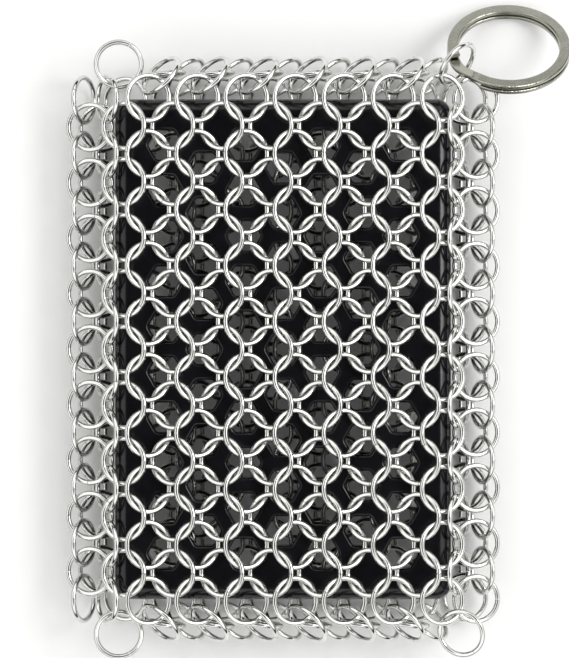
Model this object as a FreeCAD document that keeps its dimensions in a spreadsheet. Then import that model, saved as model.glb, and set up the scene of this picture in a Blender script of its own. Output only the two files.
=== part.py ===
"""Pot scrubber: a flat pouch of linked steel rings round a holed rubber core, with a split ring to hang it.

Millimetres and degrees. X runs across the pouch, Y along it and Z up. The origin is on the table under the
middle of the pouch, which lies flat on its back sheet of rings.
"""
import FreeCAD
import Part
import Sketcher
import math
import os

Vector = FreeCAD.Vector

# Driving dimensions: alias in the sheet, value, what it measures
SIZES = (
    ("core_width", 68.2, "rubber core across the pouch"),
    ("core_length", 101.5, "rubber core along the pouch"),
    ("core_corner_radius", 3.0, "rounding of the core's four corners, seen from above"),
    ("core_edge_radius", 3.0, "rounding of the core's upper and lower edges"),
    ("core_rim", 5.6, "solid band left between the holes and the core's outline"),
    ("core_hole_flats", 6.0, "hexagonal hole in the core, across its flats"),
    ("core_hole_wall", 3.2, "rubber wall between two holes"),
    ("cut_overrun", 1.0, "how far a cutting tool runs past the face that it cuts"),
    ("core_clearance", 0.2, "gap between the core's faces and the mail lying on them"),
    ("core_side_clearance", 0.2, "gap between the core's long edges and the mail that comes nearest"),
    ("ring_inner_diameter", 8.1, "clear opening of a mail ring"),
    ("ring_wire_diameter", 1.05, "round wire of the mail rings"),
    ("ring_seam", 0.12, "gap where the two ends of a mail ring butt"),
    ("ring_tilt_angle", 24.0, "lean of the mail rings out of the sheet, degrees"),
    ("link_clearance", 0.1, "least gap between two linked mail rings"),
    ("row_room_share", 1.05, "row pitch beyond a ring's radius, in wire diameters"),
    ("side_upper_angle", 63.0, "slope of the upper side column, degrees down from straight out"),
    ("side_middle_angle", 15.0, "slope of the middle side column, degrees down from straight out"),
    ("side_lower_angle", 115.0, "slope of the lower side column, degrees down from straight out"),
    ("end_link_lean_angle", 86.2, "how steeply a link hung on the end row stands, degrees"),
    ("end_link_swing_angle", 52.6, "turn of the end link's hang from straight out towards its lean, degrees"),
    ("end_link_hook_angle", 55.4, "where on the end ring its link hangs, degrees from the dipping side"),
    ("end_link_play", 2.03, "room between an end link's wire and the ring that it hangs on"),
    ("end_link_roll_angle", 53.3, "turn of an end link about its own hang, degrees"),
    ("closing_ring_reach", 0.29, "closing ring's centre beyond the end link's centre"),
    ("closing_ring_yaw_angle", 6.0, "turn of the closing rings about the vertical, degrees"),
    ("loop_hook_angle", 61.0, "where on its corner ring the right loop hangs, degrees from the outer side"),
    ("loop_bearing_angle", 55.0, "way that the right loop points, degrees from straight out"),
    ("loop_rise_angle", 1.0, "climb of the right loop, degrees"),
    ("loop_roll_angle", 44.0, "turn of the right loop about its own hang, degrees"),
    ("loop_hinge_share", 0.0, "lean of the right loop's hinge from its carrier's wire to its own axis"),
    ("left_loop_hook_angle", 114.5, "where on its side ring a left loop hangs, degrees from the outer side"),
    ("left_loop_bearing_angle", 120.3, "way that a left loop points, degrees from straight out"),
    ("left_loop_rise_angle", 12.0, "climb of a left loop, degrees"),
    ("left_loop_roll_angle", 24.5, "turn of a left loop about its own hang, degrees"),
    ("left_loop_hinge_share", 0.0, "lean of a left loop's hinge from its carrier's wire to its own axis"),
    ("loop_play", 0.35, "room left between a hung piece's wire and the inside of its link"),
    ("corner_link_hook_angle", 66.6, "where on its corner ring the split ring's link hangs, degrees"),
    ("corner_link_bearing_angle", 62.9, "way that the split ring's link points, degrees from across"),
    ("corner_link_rise_angle", 22.1, "climb of the split ring's link, degrees"),
    ("corner_link_roll_angle", -51.3, "turn of the split ring's link about its own hang, degrees"),
    ("corner_link_hinge_share", 0.5, "lean of the split ring link's hinge from the wire to its own axis"),
    ("split_ring_outer_diameter", 25.0, "split ring, outside"),
    ("split_ring_band_width", 2.2, "flat band of the split ring, in its plane"),
    ("split_ring_coil_thickness", 0.85, "one coil of the split ring, across its plane"),
    ("split_ring_coil_gap", 0.45, "slit between the two coils"),
    ("split_ring_edge_radius", 0.22, "rounding of the flat band's edges"),
    ("split_ring_jog_angle", 40.0, "turn over which the band steps from one coil to the other, degrees"),
    ("split_ring_end_angle", 3.0, "turn left free between the step and each end of the band, degrees"),
    ("split_ring_step_angle", 217.0, "where the band steps from one coil to the other, degrees round it"),
    ("split_ring_hold_angle", 209.5, "where the link holds the split ring, degrees round its band"),
    ("split_ring_seat_angle", 116.1, "where round the link the split ring lies, degrees from its hang"),
)

SIDE_LEVELS = ("upper", "middle", "lower")
BACK_EXTRA_COUNT = 2
MAIL_STRIP_COUNT = 7
SEAM_TURN_ANGLE = 137.5
BISECTION_COUNT = 40
GAP_SAMPLE_COUNT = 240
FULL_TURN_ANGLE = 360.0
HALF_TURN_ANGLE = 180.0
HOLE_SIDE_COUNT = 6
JOG_SECTION_COUNT = 7
STEEPEST_ANGLE = 89.0
VOLUME_SHARE = 0.001
EDGE_ROUND_SHARE = 0.45
ENDS = (("top", 1), ("bottom", -1))


def sine(degrees):
    return math.sin(math.radians(degrees))


def cosine(degrees):
    return math.cos(math.radians(degrees))


def bisect(holds, low, high):
    """Largest value up to high for which holds(value) is true, when it is true at low."""
    for _ in range(BISECTION_COUNT):
        middle = (low + high) / 2
        if holds(middle):
            low = middle
        else:
            high = middle
    return low


class Ring:
    """One round ring: its centre line's centre, radius and the two directions that it lies in."""

    def __init__(self, centre, across, along, radius):
        self.centre = centre
        self.across = across
        self.along = along
        self.radius = radius
        self.normal = across.cross(along)

    def point(self, angle):
        return self.centre + (self.across * cosine(angle) + self.along * sine(angle)) * self.radius

    def tangent(self, angle):
        return self.along * cosine(angle) - self.across * sine(angle)

    def circle(self):
        return Part.Circle(self.centre, self.normal, self.radius).toShape()

    def distance(self, other):
        return self.circle().distToShape(other.circle())[0]

    def mirrored(self, flip):
        """The same ring seen in the planes where flip is minus one."""
        centre, across, along = [mirror(vector, flip) for vector in (self.centre, self.across, self.along)]
        return Ring(centre, across, along, self.radius)

    def lifted(self, height):
        return Ring(self.centre + Vector(0, 0, height), self.across, self.along, self.radius)

    def placement(self, turn=0.0):
        """Placement that lays a ring drawn round Z at the origin here, its seam turned by turn."""
        first = self.across * cosine(turn) + self.along * sine(turn)
        second = self.normal.cross(first)
        rows = []
        for index in range(3):
            rows += [first[index], second[index], self.normal[index], self.centre[index]]
        return FreeCAD.Placement(FreeCAD.Matrix(*rows))


def mirror(vector, flip):
    return Vector(vector.x * flip.x, vector.y * flip.y, vector.z * flip.z)


def make_sheet(doc):
    """The spreadsheet of driving dimensions, one alias to a row."""
    sheet = doc.addObject("Spreadsheet::Sheet", "Sizes")
    for row, (alias, value, note) in enumerate(SIZES, start=1):
        set_cell(sheet, row, alias, value, note)
    doc.recompute()
    return sheet


def set_cell(sheet, row, alias, value, note):
    sheet.set(f"A{row}", note)
    sheet.set(f"B{row}", repr(float(value)))
    sheet.setAlias(f"B{row}", alias)


def add_derived(doc, sheet, derived):
    """Worked-out sizes that document objects are bound to, below the driving ones."""
    for row, (alias, (value, note)) in enumerate(derived.items(), start=len(SIZES) + 1):
        set_cell(sheet, row, alias, value, note)
    doc.recompute()


class Pouch:
    """The ring lattice: front sheet, wider back sheet, three columns down each side, and the closed ends.

    Heights here are counted from the pouch's middle plane.
    """

    def __init__(self, sheet):
        self.wire = sheet.get("ring_wire_diameter")
        self.radius = (sheet.get("ring_inner_diameter") + self.wire) / 2
        self.tilt = sheet.get("ring_tilt_angle")
        self.clearance = sheet.get("link_clearance")
        self.sheet = sheet
        self.side_slopes = [sheet.get(f"side_{level}_angle") for level in SIDE_LEVELS]
        self.row_count, self.row_pitch = self.rows(sheet.get("core_length"))
        self.side_reach = self.reach_round_side()
        self.column_count, self.column_pitch = self.columns(sheet.get("core_width"))
        self.back_count = self.column_count + BACK_EXTRA_COUNT
        self.back_pitch = self.back_width() / (self.back_count - 1)
        self.sheet_gap = 2 * self.side_reach * self.side_drop()
        self.middle_height = self.sheet_gap / 2 + self.radius * sine(self.tilt) + self.wire / 2
        self.rings = {}
        self.fill_columns()

    def ring(self, x, y, z, across):
        return Ring(Vector(x, y, z), across, Vector(0, 1, 0), self.radius)

    def clears(self, first, second):
        return first.distance(second) > self.wire + self.clearance

    def rows(self, length):
        """Row count and pitch: rows as far apart as the links in a column need to clear each other."""
        widest = self.radius + self.wire * self.sheet.get("row_room_share")
        count = math.ceil(length / widest) + 1
        return count, length / (count - 1)

    def down(self, slope):
        """Direction down the left side at a slope counted from straight out, in the XZ plane."""
        return Vector(-cosine(slope), 0, -sine(slope))

    def side_drop(self):
        """Height that the way down a long side spans, in side reaches."""
        return sine(self.tilt) + sum(sine(slope) for slope in self.side_slopes)

    def back_width(self):
        """Width between the back sheet's outermost columns, which lie further out than the front's."""
        out = sum(cosine(slope) for slope in self.side_slopes)
        return self.column_pitch * (self.column_count - 1) + 4 * self.side_reach * out

    def reach_round_side(self):
        """Half the way from one side column to the next that still clears its wire at every turn."""
        slopes = [self.tilt, *self.side_slopes, HALF_TURN_ANGLE - self.tilt]
        pairs = list(zip(slopes, slopes[1:]))

        def clear(reach):
            for above, below in pairs:
                upper, lower = self.down(above), self.down(below)
                centre = (upper + lower) * reach
                neighbour = self.ring(centre.x, self.row_pitch, centre.z, lower)
                if not self.clears(self.ring(0, 0, 0, upper), neighbour):
                    return False
            return True

        return bisect(clear, self.wire, self.radius)

    def columns(self, width):
        """Column count, always even, and pitch across the core."""
        upper, middle = self.side_slopes[:2]
        reach_out = self.side_reach * (cosine(self.tilt) + 2 * cosine(upper))
        reach_back = (self.radius - self.side_reach) * cosine(middle) + self.wire / 2
        overhang = reach_out - reach_back - self.sheet.get("core_side_clearance")
        span = width - 2 * overhang
        first = self.ring(0, 0, 0, Vector(cosine(self.tilt), 0, sine(self.tilt)))
        other_lean = Vector(cosine(self.tilt), 0, -sine(self.tilt))

        def clear(pitch):
            return self.clears(first, self.ring(pitch, self.row_pitch, 0, other_lean))

        widest = bisect(clear, self.wire, 2 * self.radius)
        count = 2 * math.ceil((span / widest + 1) / 2)
        return count, span / (count - 1)

    def row_y(self, row):
        return (row - (self.row_count - 1) / 2) * self.row_pitch

    def column_x(self, column):
        return (column - (self.column_count - 1) / 2) * self.column_pitch

    def back_column_x(self, column):
        return (column - (self.back_count - 1) / 2) * self.back_pitch

    def fill_columns(self):
        """Every ring of the two sheets and the two sides, keyed by group, column and row."""
        half_gap = self.sheet_gap / 2
        last = self.column_count - 1
        for column in range(self.column_count):
            lean = 1 if column % 2 == 0 else -1
            across = Vector(cosine(self.tilt), 0, lean * sine(self.tilt))
            self.fill("front", column, self.column_x(column), half_gap, across, column - last)
        for column in range(self.back_count):
            lean = 1 if column % 2 == 0 else -1
            across = Vector(cosine(self.tilt), 0, -lean * sine(self.tilt))
            parity = column - self.back_count + len(SIDE_LEVELS)
            self.fill("back", column, self.back_column_x(column), -half_gap, across, parity)
        corner = Vector(self.column_x(0), 0, half_gap) + self.down(self.tilt) * self.side_reach
        for column, slope in enumerate(self.side_slopes):
            direction = self.down(slope)
            centre = corner + direction * self.side_reach
            corner += direction * (2 * self.side_reach)
            self.fill("left", column, centre.x, centre.z, direction, -1 - column - last)
            self.fill("right", column, -centre.x, centre.z, Vector(-direction.x, 0, direction.z), column + 1)

    def fill(self, group, column, x, z, across, parity):
        for row in range(self.row_count):
            if (parity + self.row_count - 1 - row) % 2 == 0:
                self.rings[group, column, row] = self.ring(x, self.row_y(row), z, across)

    def column_rings(self, group, columns):
        return [ring for (name, column, _), ring in self.rings.items() if name == group and column in columns]

    def strips(self, count):
        """The columns of a sheet dealt into strips, left to right."""
        width = count / MAIL_STRIP_COUNT
        edges = [round(strip * width) for strip in range(MAIL_STRIP_COUNT + 1)]
        return [range(start, stop) for start, stop in zip(edges, edges[1:])]

    def end_row(self, end):
        return self.row_count - 1 if end > 0 else 0

    def end_link(self, carrier, end):
        """The link that hangs on an end ring and leans towards the pouch's middle plane."""
        sheet_side = 1 if carrier.centre.z > 0 else -1
        dip = -1 if carrier.across.z * sheet_side > 0 else 1
        lean = self.sheet.get("end_link_lean_angle")
        swing = self.sheet.get("end_link_swing_angle")
        hook = self.sheet.get("end_link_hook_angle")
        down = Vector(dip * cosine(lean), 0, -sheet_side * sine(lean))
        hold = carrier.centre
        hold += (carrier.across * (dip * cosine(hook)) + carrier.along * (end * sine(hook))) * self.radius
        hang = self.radius - self.wire - self.sheet.get("end_link_play")
        out = Vector(0, end * cosine(swing), 0) + down * sine(swing)
        level = Vector(0, -end * sine(swing), 0) + down * cosine(swing)
        roll = FreeCAD.Rotation(out, self.sheet.get("end_link_roll_angle") * sheet_side * dip * end)
        return Ring(hold + out * hang, out, roll.multVec(level), self.radius), dip

    def end_chains(self, end):
        """Front links, back links and the closing rings that join them in pairs, at one end."""
        fronts, backs, closings = [], [], []
        row = self.end_row(end)
        yaw = self.sheet.get("closing_ring_yaw_angle")
        for column in range(self.column_count):
            front = self.rings.get(("front", column, row))
            if front is None:
                continue
            front_link, dip = self.end_link(front, end)
            below = column + BACK_EXTRA_COUNT // 2 + dip
            back = self.rings.get(("back", below, row))
            if back is None or abs(back.centre.x) > self.column_x(self.column_count - 1) + self.wire:
                continue
            back_link, _ = self.end_link(back, end)
            y = front_link.centre.y + end * self.sheet.get("closing_ring_reach")
            middle = Vector((front.centre.x + back.centre.x) / 2, y, 0)
            across = Vector(cosine(yaw), dip * end * sine(yaw), 0)
            fronts.append(front_link)
            backs.append(back_link)
            closings.append(Ring(middle, across, Vector(0, 0, 1), self.radius))
        return fronts, backs, closings

    def corner(self, side, end):
        """The ring of the end row that a corner's loose piece hangs on, and the mirror to the right front."""
        row = self.end_row(end)
        key = ("front", self.column_count - 1, row) if side > 0 else ("left", 0, row)
        return self.rings[key], Vector(side, end, 1)

    def hung(self, carrier, flip, name):
        """A ring hung on a corner ring by the angles of the sheet that start with name, and its hinge.

        It swings about a line through the corner ring's wire, leaning from that wire towards its own axis.
        """
        hook = self.sheet.get(f"{name}_hook_angle")
        bearing = self.sheet.get(f"{name}_bearing_angle")
        rise = self.sheet.get(f"{name}_rise_angle")
        plain = carrier.mirrored(flip)
        upright = Ring(plain.centre, plain.across, plain.along, self.radius)
        if upright.across.x < 0:
            upright = Ring(plain.centre, plain.across * -1, plain.along, self.radius)
        if upright.along.y < 0:
            upright = Ring(upright.centre, upright.across, upright.along * -1, self.radius)
        hang = Vector(cosine(bearing) * cosine(rise), sine(bearing) * cosine(rise), sine(rise))
        tangent = upright.tangent(hook)
        level = tangent - hang * tangent.dot(hang)
        level.normalize()
        turn = FreeCAD.Rotation(hang, self.sheet.get(f"{name}_roll_angle"))
        normal = turn.multVec(level)
        reach = self.radius - self.wire - self.sheet.get("loop_play")
        centre = upright.point(hook) + hang * reach
        ring = Ring(centre, hang, normal.cross(hang), self.radius)
        lean_share = self.sheet.get(f"{name}_hinge_share")
        axis = tangent * (1 - lean_share) + normal * lean_share
        axis.normalize()
        sense = flip.x * flip.y * flip.z
        return ring.mirrored(flip), mirror(upright.point(hook), flip), mirror(axis, flip) * sense

    def core_thickness(self):
        lean = self.radius * sine(self.tilt) + self.wire / 2
        return self.sheet_gap - 2 * (lean + self.sheet.get("core_clearance"))


def make_master_ring(doc):
    """The one mail ring that every other is a placed copy of."""
    ring = doc.addObject("Part::Torus", "MailRing")
    ring.Label = "mail_ring_pattern"
    ring.setExpression("Radius1", "(Sizes.ring_inner_diameter + Sizes.ring_wire_diameter) / 2")
    ring.setExpression("Radius2", "Sizes.ring_wire_diameter / 2")
    ring.setExpression("Angle3", "Sizes.ring_sweep")
    doc.recompute()
    return ring


def make_ring_group(doc, label, master, rings, height):
    """One node of mail rings: placed copies of the master, each seam turned further than the last."""
    copies = []
    for index, ring in enumerate(rings):
        copy = master.Shape.copy()
        copy.Placement = ring.lifted(height).placement(index * SEAM_TURN_ANGLE)
        copies.append(copy)
    feature = doc.addObject("Part::Feature", label)
    feature.Label = label
    feature.Shape = Part.Compound(copies)
    return feature


def origin_plane(body, role):
    return next(feature for feature in body.Origin.OriginFeatures if feature.Role == role)


def new_sketch(body, name):
    sketch = body.newObject("Sketcher::SketchObject", name)
    sketch.AttachmentSupport = [(origin_plane(body, "XY_Plane"), "")]
    sketch.MapMode = "FlatFace"
    return sketch


def draw_core_outline(sketch, width, length):
    """A rectangle about the origin, its sides bound to the sheet."""
    corners = [Vector(x * width / 2, y * length / 2, 0) for x, y in ((-1, -1), (1, -1), (1, 1), (-1, 1))]
    for start, stop in zip(corners, corners[1:] + corners[:1]):
        sketch.addGeometry(Part.LineSegment(start, stop))
    for side in range(4):
        sketch.addConstraint(Sketcher.Constraint("Coincident", side, 2, (side + 1) % 4, 1))
    for side in (0, 2):
        sketch.addConstraint(Sketcher.Constraint("Horizontal", side))
    for side in (1, 3):
        sketch.addConstraint(Sketcher.Constraint("Vertical", side))
    sketch.addConstraint(Sketcher.Constraint("Symmetric", 0, 1, 2, 1, -1, 1))
    across = sketch.addConstraint(Sketcher.Constraint("DistanceX", 0, 1, 0, 2, width))
    along = sketch.addConstraint(Sketcher.Constraint("DistanceY", 1, 1, 1, 2, length))
    sketch.setExpression(f"Constraints[{across}]", "Sizes.core_width")
    sketch.setExpression(f"Constraints[{along}]", "Sizes.core_length")


def hole_centres(sheet):
    """Hole places on a honeycomb that leaves the rim whole; every other column is shifted half a pitch."""
    flats = sheet.get("core_hole_flats")
    pitch = flats + sheet.get("core_hole_wall")
    corner_reach = flats / 2 / cosine(HALF_TURN_ANGLE / HOLE_SIDE_COUNT)
    column_step = pitch * cosine(HALF_TURN_ANGLE / HOLE_SIDE_COUNT)
    room_x = sheet.get("core_width") / 2 - sheet.get("core_rim") - corner_reach
    room_y = sheet.get("core_length") / 2 - sheet.get("core_rim") - flats / 2
    side_columns = math.floor(room_x / column_step)
    centres = []
    for column in range(-side_columns, side_columns + 1):
        shift = pitch / 2 if column % 2 else 0
        rows = math.floor((room_y - shift) / pitch)
        first = -rows if shift == 0 else -rows - 1
        for row in range(first, rows + 1):
            centres.append(Vector(column * column_step, row * pitch + shift, 0))
    return centres


def make_hole_cutters(doc, sheet, height):
    """Hexagonal prisms with a corner towards each long side of the core, one at each hole."""
    prism = doc.addObject("Part::Prism", "CoreHole")
    prism.Polygon = HOLE_SIDE_COUNT
    half_side_angle = HALF_TURN_ANGLE / HOLE_SIDE_COUNT
    prism.setExpression("Circumradius", f"Sizes.core_hole_flats / 2 / cos({half_side_angle} deg)")
    prism.setExpression("Height", "Sizes.core_thickness + 2 * Sizes.cut_overrun")
    doc.recompute()
    bottom = height - prism.Height.Value / 2
    copies = []
    for centre in hole_centres(sheet):
        copy = prism.Shape.copy()
        copy.Placement = FreeCAD.Placement(centre + Vector(0, 0, bottom), FreeCAD.Rotation())
        copies.append(copy)
    cutters = doc.addObject("Part::Feature", "CoreHoleCutters")
    cutters.Shape = Part.Compound(copies)
    return cutters


def is_upright(edge):
    start, stop = edge.Vertexes[0].Point, edge.Vertexes[-1].Point
    return abs(stop.z - start.z) > math.hypot(stop.x - start.x, stop.y - start.y)


def add_fillet(doc, body, base, name, picks, radius_cell):
    """Round the base's edges for which picks(edge) is true."""
    names = [f"Edge{number}" for number, edge in enumerate(base.Shape.Edges, start=1) if picks(edge)]
    fillet = body.newObject("PartDesign::Fillet", name)
    fillet.Base = (base, names)
    fillet.setExpression("Radius", radius_cell)
    doc.recompute()
    return fillet


def make_core(doc, sheet, height):
    """The rubber core: a rounded slab with a honeycomb of holes right through it."""
    body = doc.addObject("PartDesign::Body", "Core")
    outline = new_sketch(body, "CoreOutline")
    draw_core_outline(outline, sheet.get("core_width"), sheet.get("core_length"))
    slab = body.newObject("PartDesign::Pad", "CoreSlab")
    slab.Profile = outline
    slab.SideType = "Symmetric"
    slab.setExpression("Length", "Sizes.core_thickness")
    doc.recompute()
    corners = add_fillet(doc, body, slab, "CoreCorners", is_upright, "Sizes.core_corner_radius")
    add_fillet(doc, body, corners, "CoreEdges", lambda edge: not is_upright(edge), "Sizes.core_edge_round")
    body.Placement = FreeCAD.Placement(Vector(0, 0, height), FreeCAD.Rotation())
    core = doc.addObject("Part::Cut", "HoledCore")
    core.Label = "rubber_core"
    core.Base = body
    core.Tool = make_hole_cutters(doc, sheet, height)
    doc.recompute()
    hole_volume = hexagon_area(sheet.get("core_hole_flats")) * sheet.get("core_thickness")
    expected = len(hole_centres(sheet)) * hole_volume
    if abs(body.Shape.Volume - core.Shape.Volume - expected) > expected * VOLUME_SHARE:
        raise RuntimeError("the core's holes did not cut through")
    return core


def hexagon_area(flats):
    return flats * flats * math.sqrt(3) / 2


class SplitRing:
    """The split ring's band: two flat coils, joined by a short step, drawn round Z about its own middle."""

    def __init__(self, sheet):
        self.outer = sheet.get("split_ring_outer_diameter") / 2
        self.width = sheet.get("split_ring_band_width")
        self.coil = sheet.get("split_ring_coil_thickness")
        self.gap = sheet.get("split_ring_coil_gap")
        self.rounding = min(sheet.get("split_ring_edge_radius"), self.coil / 3)
        self.jog = sheet.get("split_ring_jog_angle")
        self.end_room = sheet.get("split_ring_end_angle")
        self.step_place = sheet.get("split_ring_step_angle")
        self.hold = sheet.get("split_ring_hold_angle")
        self.seat = sheet.get("split_ring_seat_angle")
        self.middle = self.outer - self.width / 2
        self.step = self.coil + self.gap
        self.thickness = self.coil + self.step
        self.section_reach = math.hypot(self.width, self.thickness) / 2

    def section(self, angle, level):
        """Rounded flat section of the band, standing in the half plane at angle round Z."""
        half_width = self.width / 2 - self.rounding
        half_coil = self.coil / 2 - self.rounding
        outward = Vector(cosine(angle), sine(angle), 0)
        up = Vector(0, 0, 1)
        centre = outward * self.middle + up * level
        edges = []
        for quarter, (right, top) in enumerate(((1, 1), (-1, 1), (-1, -1), (1, -1))):
            corner = centre + outward * (right * half_width) + up * (top * half_coil)
            start, half, stop = [
                corner + (outward * cosine(turn) + up * sine(turn)) * self.rounding
                for turn in (quarter * 90, quarter * 90 + 45, quarter * 90 + 90)
            ]
            edges.append((start, half, stop))
        wire = []
        for (start, half, stop), (following, _, _) in zip(edges, edges[1:] + edges[:1]):
            wire.append(Part.Arc(start, half, stop).toShape())
            wire.append(Part.LineSegment(stop, following).toShape())
        return Part.Wire(wire)

    def level_coil(self, start, stop, level):
        face = Part.Face(self.section(start, level))
        return face.revolve(Vector(0, 0, 0), Vector(0, 0, 1), stop - start)

    def jog_level(self, share):
        return self.step * (share * share * (3 - 2 * share) - 0.5)

    def shape(self):
        low, high = -self.step / 2, self.step / 2
        first_start = self.jog / 2 + self.end_room
        first_stop = FULL_TURN_ANGLE - self.jog / 2
        sections = []
        for index in range(JOG_SECTION_COUNT):
            share = index / (JOG_SECTION_COUNT - 1)
            sections.append(self.section(first_stop + share * self.jog, self.jog_level(share)))
        step = Part.makeLoft(sections, True, False)
        lower = self.level_coil(first_start, first_stop, low)
        upper = self.level_coil(self.jog / 2, FULL_TURN_ANGLE - first_start, high)
        return lower.fuse([step, upper]).removeSplitter()

    def level(self, turned):
        """Height of the band's middle after turning this far from the start of the lower coil's zero."""
        share = (turned - FULL_TURN_ANGLE + self.jog / 2) / self.jog
        return self.jog_level(min(max(share, 0), 1))

    def least_self_gap(self):
        """Least gap between stretches of the band over half a turn apart, measured on points along it."""
        start = self.jog / 2 + self.end_room
        length = 2 * (FULL_TURN_ANGLE - start)
        turns = [start + length * index / GAP_SAMPLE_COUNT for index in range(GAP_SAMPLE_COUNT + 1)]
        gaps = []
        for first in turns:
            for second in turns:
                if second - first > HALF_TURN_ANGLE:
                    apart = math.radians(abs(second - first - FULL_TURN_ANGLE)) * self.middle
                    rise = max(self.level(second) - self.level(first) - self.coil, 0)
                    gaps.append(math.hypot(apart, rise))
        return min(gaps)


def place_split_ring(band, link, wire, play, table):
    """Ring that the band follows: held in its link, and lying with its far side on the table."""
    hang = link.radius - wire / 2 - band.section_reach - play
    hold = link.centre + (link.across * cosine(band.seat) + link.along * sine(band.seat)) * hang
    rise = hold.z - table
    leaning = band.outer - band.middle * sine(band.hold)

    def too_flat(tilt):
        return sine(tilt) * leaning + cosine(tilt) * band.thickness / 2 < rise

    slope = bisect(too_flat, 0, STEEPEST_ANGLE)
    along = Vector(0, cosine(slope), -sine(slope))
    outward = Vector(cosine(band.hold), 0, 0) + along * sine(band.hold)
    return Ring(hold - outward * band.middle, Vector(1, 0, 0), along, band.middle)


def make_split_ring(doc, band, ring, height):
    feature = doc.addObject("Part::Feature", "split_ring")
    feature.Label = "split_ring"
    feature.Shape = band.shape()
    turn = FreeCAD.Placement(Vector(0, 0, 0), FreeCAD.Rotation(Vector(0, 0, 1), band.step_place))
    feature.Placement = ring.lifted(height).placement() * turn
    return feature


def make_parts(doc, sheet):
    """Every sub-part of the scrubber, and the hinges that its loose pieces turn on."""
    pouch = Pouch(sheet)
    height = pouch.middle_height
    seam_angle = math.degrees(sheet.get("ring_seam") / pouch.radius)
    thickness = pouch.core_thickness()
    edge_round = min(sheet.get("core_edge_radius"), thickness * EDGE_ROUND_SHARE)
    add_derived(doc, sheet, {
        "core_thickness": (thickness, "rubber core between the two sheets, worked out"),
        "core_edge_round": (edge_round, "edge rounding that the thickness leaves room for, worked out"),
        "ring_sweep": (FULL_TURN_ANGLE - seam_angle, "turn of wire in a mail ring, worked out"),
    })
    master = make_master_ring(doc)
    parts = [make_core(doc, sheet, height)]
    for group, count in (("front", pouch.column_count), ("back", pouch.back_count)):
        for number, columns in enumerate(pouch.strips(count), start=1):
            rings = pouch.column_rings(group, columns)
            parts.append(make_ring_group(doc, f"{group}_mail_strip_{number}", master, rings, height))
    for side in ("left", "right"):
        for column, level in enumerate(SIDE_LEVELS):
            rings = pouch.column_rings(side, [column])
            parts.append(make_ring_group(doc, f"{side}_side_{level}_column", master, rings, height))
    for name, end in ENDS:
        for kind, rings in zip(("front_links", "back_links", "closing_rings"), pouch.end_chains(end)):
            parts.append(make_ring_group(doc, f"{name}_{kind}", master, rings, height))
    hinges = {}
    for label, side, end in (("top_left", -1, 1), ("bottom_left", -1, -1), ("bottom_right", 1, -1)):
        carrier, flip = pouch.corner(side, end)
        loop, pivot, axis = pouch.hung(carrier, flip, "loop" if side > 0 else "left_loop")
        parts.append(make_ring_group(doc, f"{label}_loop", master, [loop], height))
        hinges[f"{label}_loop"] = (pivot, axis)
    carrier, flip = pouch.corner(1, 1)
    link, pivot, axis = pouch.hung(carrier, flip, "corner_link")
    parts.append(make_ring_group(doc, "corner_link", master, [link], height))
    hinges["corner_link"] = (pivot, axis)
    band = SplitRing(sheet)
    ring = place_split_ring(band, link, pouch.wire, sheet.get("loop_play"), -height)
    parts.append(make_split_ring(doc, band, ring, height))
    hinges["split_ring"] = (ring.centre, ring.normal)
    print(f"columns {pouch.column_count}, rows {pouch.row_count}, column pitch {pouch.column_pitch:.3f},"
          f" row pitch {pouch.row_pitch:.3f}, middle height {height:.3f}, core thickness {thickness:.3f}")
    print(f"split ring's least gap to itself {band.least_self_gap():.3f}")
    for label, (pivot, axis) in hinges.items():
        pivot += Vector(0, 0, height)
        place = " ".join(f"{value:.3f}" for value in pivot)
        direction = " ".join(f"{value:.5f}" for value in axis)
        print(f"hinge {label}: at {place}, axis {direction}")
    return parts


def check(doc, parts):
    """Stop if any object failed or any sub-part is not a valid shape."""
    for item in doc.Objects:
        if "Invalid" in item.State or "Error" in item.State:
            raise RuntimeError(f"{item.Label} did not build: {item.State}")
    for part in parts:
        if part.Shape.isNull() or not part.Shape.isValid():
            raise RuntimeError(f"{part.Label} is not a valid solid")


def main():
    doc = FreeCAD.newDocument("PotScrubber")
    sheet = make_sheet(doc)
    parts = make_parts(doc, sheet)
    doc.recompute()
    check(doc, parts)
    os.makedirs("parts", exist_ok=True)
    for part in parts:
        part.Shape.exportStep(f"parts/{part.Label}.step")
    print(f"{len(parts)} sub-parts, {sum(len(part.Shape.Solids) for part in parts)} solids")


main()
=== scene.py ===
"""Looks for the pot scrubber: steel mail, rubber core, split ring, pale floor, soft light and camera."""
import math

import bmesh
import bpy
from mathutils import Matrix, Vector


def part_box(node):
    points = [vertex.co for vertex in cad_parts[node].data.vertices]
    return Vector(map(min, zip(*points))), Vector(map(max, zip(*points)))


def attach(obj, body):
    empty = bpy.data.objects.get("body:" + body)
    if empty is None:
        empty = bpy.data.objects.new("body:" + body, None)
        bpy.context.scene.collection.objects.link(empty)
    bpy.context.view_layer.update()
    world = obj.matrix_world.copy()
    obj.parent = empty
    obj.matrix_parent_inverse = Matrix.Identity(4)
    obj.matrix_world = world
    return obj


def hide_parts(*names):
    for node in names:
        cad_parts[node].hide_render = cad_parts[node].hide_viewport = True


# The core's holes and edges, in metres.
HOLE_FLATS = 0.006
HOLE_WALL = 0.0032
CORE_RIM = 0.0056
HOLE_CORNER_RADIUS = 0.0007
HOLE_MOUTH_RADIUS = 0.0006
CORE_CORNER_RADIUS = 0.003
CORE_EDGE_RADIUS = 0.0028

# How finely roundings are drawn.
ROUND_STEPS = 5
CORNER_STEPS = 3
OUTLINE_CORNER_STEPS = 8

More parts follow.
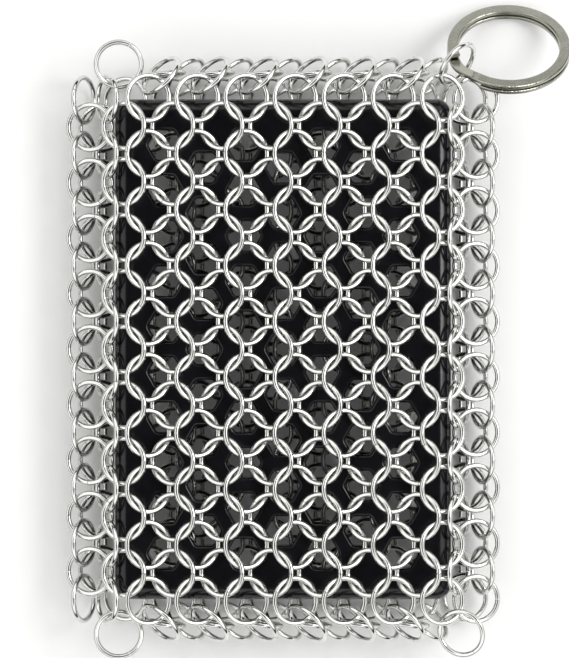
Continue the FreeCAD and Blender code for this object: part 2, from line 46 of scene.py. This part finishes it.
# Finishes: darkest and lightest colour, size and depth of the patterns, and the span of the roughness.
WIRE_FINISH = {
    "colours": ((0.66, 0.66, 0.64), (0.78, 0.78, 0.76)),
    "cloud_scale": 420,
    "mark_scale": 3200,
    "mark_detail": 2,
    "roughness": (0.06, 0.15),
    "mark_strength": 0.12,
}
# Painted shade: the split ring's colours are darker and more olive than its steel, standing in for the dim
# surroundings that its tilted face reflects.
BAND_FINISH_WITH_PAINTED_SHADE = {
    "colours": ((0.36, 0.36, 0.31), (0.42, 0.42, 0.37)),
    "cloud_scale": 260,
    "mark_scale": 2400,
    "mark_detail": 3,
    "roughness": (0.14, 0.26),
    "mark_strength": 0.15,
}
STEEL_CLOUD_DETAIL = 3
STEEL_MARK_DEPTH = 0.00002

RUBBER_COLOURS = ((0.003, 0.003, 0.004), (0.008, 0.007, 0.009))
RUBBER_LIGHTEST_AT = 0.75
RUBBER_CLOUD_SCALE = 180
RUBBER_CLOUD_DETAIL = 4
RUBBER_GRAIN_SCALE = 1500
RUBBER_GRAIN_DETAIL = 3
RUBBER_ROUGHNESS = (0.10, 0.20)
RUBBER_SHINE = 0.4
RUBBER_GRAIN_DEPTH = 0.00003
RUBBER_GRAIN_STRENGTH = 0.12

# Noise keeps to the middle of its range, so these two values count as its ends.
NOISE_LOW = 0.3
NOISE_HIGH = 0.7

FLOOR_COLOURS = ((0.96, 0.96, 0.96), (0.98, 0.98, 0.98))
FLOOR_CLOUD_SCALE = 30
FLOOR_CLOUD_DETAIL = 3
FLOOR_ROUGHNESS = 0.8
FLOOR_WHITE_SHARE = 0.04
FLOOR_REACH = 2.0

# The tent's colour by the sine of the height above the horizon.
TENT_STOPS = (
    (0.0, (0.02, 0.02, 0.02)),
    (0.30, (0.06, 0.06, 0.05)),
    (0.46, (1.45, 1.45, 1.42)),
    (0.84, (1.43, 1.43, 1.42)),
    (0.91, (0.15, 0.15, 0.15)),
    (1.0, (0.08, 0.08, 0.08)),
)

LAMP_PLACE = Vector((0.42, 0.12, 0.5))
LAMP_SIZE = 0.28
LAMP_POWER = 1.4

# The picture's frame: its height in metres at the height of the mail's face, and the point at its middle.
VIEW_HEIGHT = 0.1335
VIEW_MIDDLE = Vector((0.0003, 0.0041, 0.010))
CAMERA_DISTANCE = 0.9
SENSOR_MILLIMETRES = 24
CLIP_NEAR = 0.01
CLIP_FAR = 20

CORE_NODE = "rubber_core"
BAND_NODE = "split_ring"


def hexagon(centre, flats):
    """Corners of a hexagon with one corner towards +X."""
    reach = flats / 2 / math.cos(math.pi / 6)
    corners = []
    for number in range(6):
        angle = number * math.pi / 3
        corners.append(centre + Vector((reach * math.cos(angle), reach * math.sin(angle), 0)))
    return corners


def rounded_loop(corners, radius, steps):
    """A closed loop of points with each corner of a convex polygon rounded."""
    loop = []
    count = len(corners)
    for number, corner in enumerate(corners):
        before = (corners[number - 1] - corner).normalized()
        after = (corners[(number + 1) % count] - corner).normalized()
        half = before.angle(after) / 2
        middle = corner + (before + after).normalized() * (radius / math.sin(half))
        start = corner + before * (radius / math.tan(half)) - middle
        turn = math.pi - 2 * half
        for step in range(steps + 1):
            loop.append(middle + Matrix.Rotation(turn * step / steps, 3, "Z") @ start)
    return loop


def hole_centres(width, length):
    """Hole places on a honeycomb that leaves the rim whole; every other column is shifted half a pitch."""
    pitch = HOLE_FLATS + HOLE_WALL
    column_step = pitch * math.cos(math.pi / 6)
    room_x = width / 2 - CORE_RIM - HOLE_FLATS / 2 / math.cos(math.pi / 6)
    room_y = length / 2 - CORE_RIM - HOLE_FLATS / 2
    side_columns = math.floor(room_x / column_step)
    centres = []
    for column in range(-side_columns, side_columns + 1):
        shift = pitch / 2 if column % 2 else 0
        rows = math.floor((room_y - shift) / pitch)
        first = -rows if shift == 0 else -rows - 1
        for row in range(first, rows + 1):
            centres.append(Vector((column * column_step, row * pitch + shift, 0)))
    return centres


def wall_profile(thickness, radius):
    """Pairs of (set back from the wall, height) down a wall that is rounded at its top and bottom edges."""
    pairs = []
    for step in range(ROUND_STEPS + 1):
        angle = math.pi / 2 * step / ROUND_STEPS
        pairs.append((radius * (1 - math.sin(angle)), thickness / 2 - radius * (1 - math.cos(angle))))
    lower = [(back, -height) for back, height in reversed(pairs)]
    return pairs + lower


def add_wall(mesh, loops):
    """Faces between loops of points, each loop one level of a wall; returns the first and last edges."""
    levels = []
    for loop in loops:
        levels.append([mesh.verts.new(point) for point in loop])
    count = len(levels[0])
    for upper, lower in zip(levels, levels[1:]):
        for number in range(count):
            following = (number + 1) % count
            mesh.faces.new((upper[number], upper[following], lower[following], lower[number]))
    ends = []
    for level in (levels[0], levels[-1]):
        ends.append([mesh.edges.get((level[number - 1], level[number])) for number in range(count)])
    return ends


def core_piece(material):
    """The rubber core: a soft-edged slab with hexagonal holes whose mouths and corners are rounded."""
    low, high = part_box("rubber_core")
    middle = (low + high) / 2
    width, length, thickness = high - low
    mesh = bmesh.new()
    top_edges = []
    bottom_edges = []
    corners = [Vector((x * width / 2, y * length / 2, 0)) for x, y in ((1, 1), (-1, 1), (-1, -1), (1, -1))]
    loops = []
    for back, height in wall_profile(thickness, CORE_EDGE_RADIUS):
        inner = [corner - Vector((math.copysign(back, corner.x), math.copysign(back, corner.y), 0))
                 for corner in corners]
        loop = rounded_loop(inner, CORE_CORNER_RADIUS - back, OUTLINE_CORNER_STEPS)
        loops.append([middle + point + Vector((0, 0, height)) for point in loop])
    ends = add_wall(mesh, loops)
    top_edges += ends[0]
    bottom_edges += ends[1]
    for centre in hole_centres(width, length):
        loops = []
        for back, height in wall_profile(thickness, HOLE_MOUTH_RADIUS):
            outline = hexagon(centre, HOLE_FLATS + 2 * back)
            loop = rounded_loop(outline, HOLE_CORNER_RADIUS + back, CORNER_STEPS)
            loops.append([middle + point + Vector((0, 0, height)) for point in loop])
        ends = add_wall(mesh, loops)
        top_edges += ends[0]
        bottom_edges += ends[1]
    bmesh.ops.triangle_fill(mesh, use_beauty=True, edges=top_edges)
    bmesh.ops.triangle_fill(mesh, use_beauty=True, edges=bottom_edges)
    bmesh.ops.recalc_face_normals(mesh, faces=mesh.faces)
    data = bpy.data.meshes.new("rubber_core_moulding")
    mesh.to_mesh(data)
    mesh.free()
    for face in data.polygons:
        face.use_smooth = True
    piece = bpy.data.objects.new("rubber_core_moulding", data)
    bpy.context.scene.collection.objects.link(piece)
    piece.modifiers.new("even_normals", "WEIGHTED_NORMAL").keep_sharp = True
    data.materials.append(material)
    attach(piece, "pouch")
    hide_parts("rubber_core")


def new_material(name):
    """An empty node material with its shader."""
    material = bpy.data.materials.new(name)
    material.use_nodes = True
    tree = material.node_tree
    shader = tree.nodes["Principled BSDF"]
    return material, tree, shader


def noise(tree, vector, scale, detail):
    """A noise pattern with cells of about one over scale metres."""
    node = tree.nodes.new("ShaderNodeTexNoise")
    node.inputs["Scale"].default_value = scale
    node.inputs["Detail"].default_value = detail
    tree.links.new(vector, node.inputs["Vector"])
    return node.outputs["Fac"]


def spread(tree, value, ends):
    """A noise value spread between two numbers."""
    low, high = ends
    node = tree.nodes.new("ShaderNodeMapRange")
    node.inputs["From Min"].default_value = NOISE_LOW
    node.inputs["From Max"].default_value = NOISE_HIGH
    node.inputs["To Min"].default_value = low
    node.inputs["To Max"].default_value = high
    tree.links.new(value, node.inputs["Value"])
    return node.outputs["Result"]


def ramp(tree, value, stops):
    """A colour ramp with (place, colour) stops."""
    node = tree.nodes.new("ShaderNodeValToRGB")
    elements = node.color_ramp.elements
    while len(elements) < len(stops):
        elements.new(0.5)
    for element, (place, colour) in zip(elements, stops):
        element.position = place
        element.color = (*colour, 1)
    tree.links.new(value, node.inputs["Fac"])
    return node.outputs["Color"]


def clouded(tree, value, colours, lightest_at=NOISE_HIGH):
    """A noise value turned into a colour between two colours."""
    dark, light = colours
    return ramp(tree, value, ((NOISE_LOW, dark), (lightest_at, light)))


def bump(tree, shader, height, distance, strength):
    """Let a pattern roughen the shading of a surface."""
    node = tree.nodes.new("ShaderNodeBump")
    node.inputs["Distance"].default_value = distance
    node.inputs["Strength"].default_value = strength
    tree.links.new(height, node.inputs["Height"])
    tree.links.new(node.outputs["Normal"], shader.inputs["Normal"])


def object_place(tree):
    """Places on a piece, in its own axes."""
    return tree.nodes.new("ShaderNodeTexCoord").outputs["Object"]


def steel(name, finish):
    """Stainless steel with faint clouding and fine marks."""
    material, tree, shader = new_material(name)
    place = object_place(tree)
    shader.inputs["Metallic"].default_value = 1
    clouds = noise(tree, place, finish["cloud_scale"], STEEL_CLOUD_DETAIL)
    tree.links.new(clouded(tree, clouds, finish["colours"]), shader.inputs["Base Color"])
    marks = noise(tree, place, finish["mark_scale"], finish["mark_detail"])
    tree.links.new(spread(tree, marks, finish["roughness"]), shader.inputs["Roughness"])
    bump(tree, shader, marks, STEEL_MARK_DEPTH, finish["mark_strength"])
    return material


def core_rubber():
    """Black moulded rubber with a soft shine and faint dust."""
    material, tree, shader = new_material("black_rubber")
    place = object_place(tree)
    clouds = noise(tree, place, RUBBER_CLOUD_SCALE, RUBBER_CLOUD_DETAIL)
    colour = clouded(tree, clouds, RUBBER_COLOURS, RUBBER_LIGHTEST_AT)
    tree.links.new(colour, shader.inputs["Base Color"])
    grain = noise(tree, place, RUBBER_GRAIN_SCALE, RUBBER_GRAIN_DETAIL)
    tree.links.new(spread(tree, grain, RUBBER_ROUGHNESS), shader.inputs["Roughness"])
    shader.inputs["Specular IOR Level"].default_value = RUBBER_SHINE
    bump(tree, shader, grain, RUBBER_GRAIN_DEPTH, RUBBER_GRAIN_STRENGTH)
    return material


def dress_nodes(nodes, wire, band):
    """Give every steel node its finish."""
    for name, node in nodes.items():
        if name == CORE_NODE:
            continue
        is_band = name == BAND_NODE
        node.data.materials.clear()
        node.data.materials.append(band if is_band else wire)


def white_where_seen(tree, plain):
    """Mix a surface with plain white for rays that show it, so that it is pale and still takes a shadow."""
    path = tree.nodes.new("ShaderNodeLightPath")
    seen = path.outputs["Is Camera Ray"]
    for other in ("Is Glossy Ray", "Is Transmission Ray"):
        either = tree.nodes.new("ShaderNodeMath")
        either.operation = "MAXIMUM"
        tree.links.new(seen, either.inputs[0])
        tree.links.new(path.outputs[other], either.inputs[1])
        seen = either.outputs["Value"]
    share = tree.nodes.new("ShaderNodeMath")
    share.operation = "MULTIPLY"
    share.inputs[1].default_value = FLOOR_WHITE_SHARE
    tree.links.new(seen, share.inputs[0])
    white = tree.nodes.new("ShaderNodeEmission")
    white.inputs["Strength"].default_value = 1
    mix = tree.nodes.new("ShaderNodeMixShader")
    tree.links.new(share.outputs["Value"], mix.inputs["Fac"])
    tree.links.new(plain, mix.inputs[1])
    tree.links.new(white.outputs["Emission"], mix.inputs[2])
    return mix.outputs["Shader"]


def floor_piece():
    """A pale table top at the height the scrubber lies on."""
    data = bpy.data.meshes.new("floor")
    corners = [(x * FLOOR_REACH, y * FLOOR_REACH, 0) for x, y in ((-1, -1), (1, -1), (1, 1), (-1, 1))]
    data.from_pydata(corners, [], [(0, 1, 2, 3)])
    floor = bpy.data.objects.new("floor", data)
    bpy.context.scene.collection.objects.link(floor)
    material, tree, shader = new_material("pale_floor")
    clouds = noise(tree, object_place(tree), FLOOR_CLOUD_SCALE, FLOOR_CLOUD_DETAIL)
    tree.links.new(clouded(tree, clouds, FLOOR_COLOURS), shader.inputs["Base Color"])
    shader.inputs["Roughness"].default_value = FLOOR_ROUGHNESS
    seen = white_where_seen(tree, shader.outputs["BSDF"])
    tree.links.new(seen, tree.nodes["Material Output"].inputs["Surface"])
    data.materials.append(material)


def studio_world():
    """A pale tent over a dark room: white above, dark at the horizon and at an opening overhead."""
    world = bpy.data.worlds.new("studio_tent")
    world.use_nodes = True
    tree = world.node_tree
    split = tree.nodes.new("ShaderNodeSeparateXYZ")
    tree.links.new(tree.nodes.new("ShaderNodeTexCoord").outputs["Generated"], split.inputs["Vector"])
    colour = ramp(tree, split.outputs["Z"], TENT_STOPS)
    background = tree.nodes["Background"]
    tree.links.new(colour, background.inputs["Color"])
    bpy.context.scene.world = world


def right_lamp():
    """A square soft lamp on the right that looks at the middle of the picture."""
    data = bpy.data.lights.new("right_lamp", "AREA")
    data.size = LAMP_SIZE
    data.energy = LAMP_POWER
    lamp = bpy.data.objects.new("right_lamp", data)
    lamp.location = LAMP_PLACE
    lamp.rotation_mode = "QUATERNION"
    lamp.rotation_quaternion = (VIEW_MIDDLE - LAMP_PLACE).to_track_quat("-Z", "Y")
    bpy.context.scene.collection.objects.link(lamp)


def add_camera():
    """A long lens straight above, framed as the photograph is."""
    data = bpy.data.cameras.new("camera")
    data.sensor_fit = "VERTICAL"
    data.sensor_height = SENSOR_MILLIMETRES
    data.sensor_width = SENSOR_MILLIMETRES
    data.lens = SENSOR_MILLIMETRES * CAMERA_DISTANCE / VIEW_HEIGHT
    data.clip_start = CLIP_NEAR
    data.clip_end = CLIP_FAR
    camera = bpy.data.objects.new("camera", data)
    camera.location = VIEW_MIDDLE + Vector((0, 0, CAMERA_DISTANCE))
    bpy.context.scene.collection.objects.link(camera)
    bpy.context.scene.camera = camera


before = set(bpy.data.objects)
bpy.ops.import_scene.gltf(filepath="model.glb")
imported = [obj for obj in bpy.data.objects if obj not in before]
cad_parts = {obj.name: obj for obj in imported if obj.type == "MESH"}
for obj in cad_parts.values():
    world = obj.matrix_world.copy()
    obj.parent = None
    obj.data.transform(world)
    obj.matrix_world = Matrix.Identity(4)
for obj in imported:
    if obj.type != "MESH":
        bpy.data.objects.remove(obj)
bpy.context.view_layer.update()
bpy.context.scene.view_settings.view_transform = "Standard"
# The split ring gets the darkened steel, whose colour is painted shade.
dress_nodes(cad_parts, steel("wire_steel", WIRE_FINISH), steel("split_ring_band_painted_shade", BAND_FINISH_WITH_PAINTED_SHADE))
core_piece(core_rubber())
floor_piece()
studio_world()
right_lamp()
add_camera()
